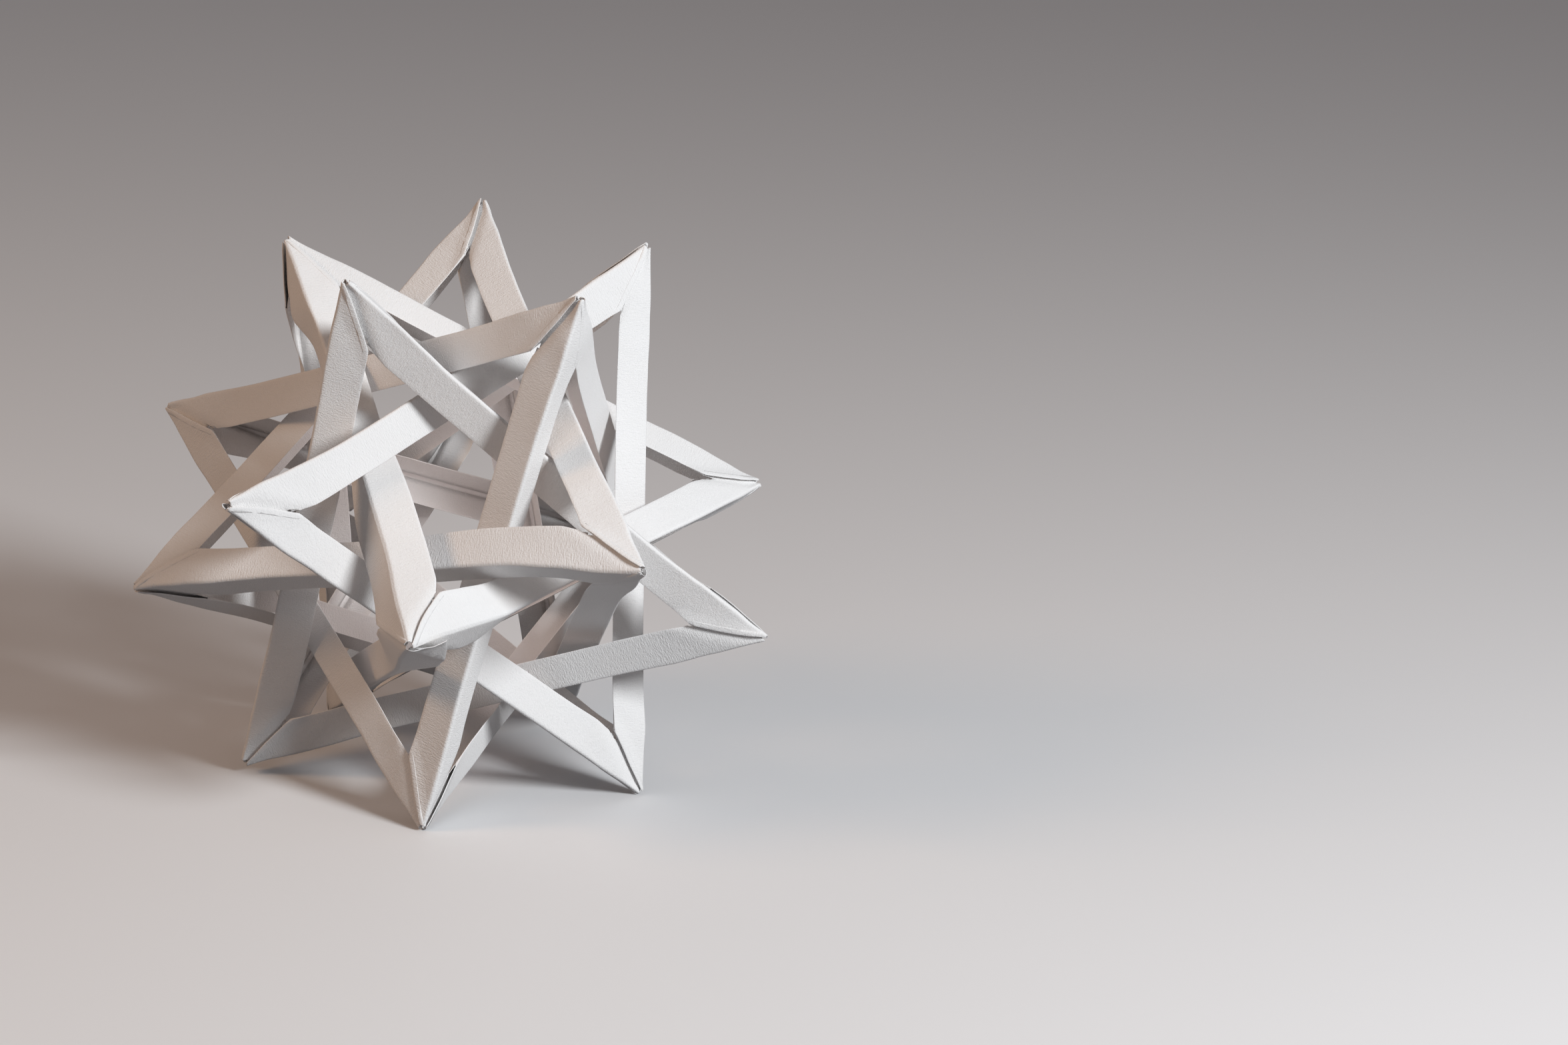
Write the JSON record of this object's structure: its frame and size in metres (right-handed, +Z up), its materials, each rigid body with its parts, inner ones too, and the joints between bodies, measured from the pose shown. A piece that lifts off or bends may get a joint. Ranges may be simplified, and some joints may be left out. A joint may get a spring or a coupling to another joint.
{
  "type": "origami star",
  "caption": "Open paper star of interlocked tetrahedral frames, folded from paper strips, each tab tucked in its neighbour's pocket, standing on its tips.",
  "frame": {"origin": "on the resting surface, under the middle of the star's outline", "axes": "+Z up, -Y towards the viewer of the picture, +X to that viewer's right"},
  "size_m": [0.1722, 0.181, 0.1473],
  "materials": {
    "white_paper": "matt uncoated white paper with a fine felt tooth, soft creases and slightly fuzzy folds"
  },
  "bodies": {
    "root": {"front_frame_strip_1": "white_paper", "front_frame_strip_2": "white_paper", "front_frame_strip_3": "white_paper", "front_frame_strip_4": "white_paper", "front_frame_strip_5": "white_paper", "front_frame_strip_6": "white_paper", "right_frame_strip_1": "white_paper", "right_frame_strip_2": "white_paper", "right_frame_strip_3": "white_paper", "right_frame_strip_4": "white_paper", "right_frame_strip_5": "white_paper", "right_frame_strip_6": "white_paper", "back_frame_strip_1": "white_paper", "back_frame_strip_2": "white_paper", "back_frame_strip_3": "white_paper", "back_frame_strip_4": "white_paper", "back_frame_strip_5": "white_paper", "back_frame_strip_6": "white_paper", "left_frame_strip_1": "white_paper", "left_frame_strip_2": "white_paper", "left_frame_strip_3": "white_paper", "left_frame_strip_4": "white_paper", "left_frame_strip_5": "white_paper", "left_frame_strip_6": "white_paper", "low_frame_strip_1": "white_paper", "low_frame_strip_2": "white_paper", "low_frame_strip_3": "white_paper", "low_frame_strip_4": "white_paper", "low_frame_strip_5": "white_paper", "low_frame_strip_6": "white_paper"}
  },
  "joints": []
}
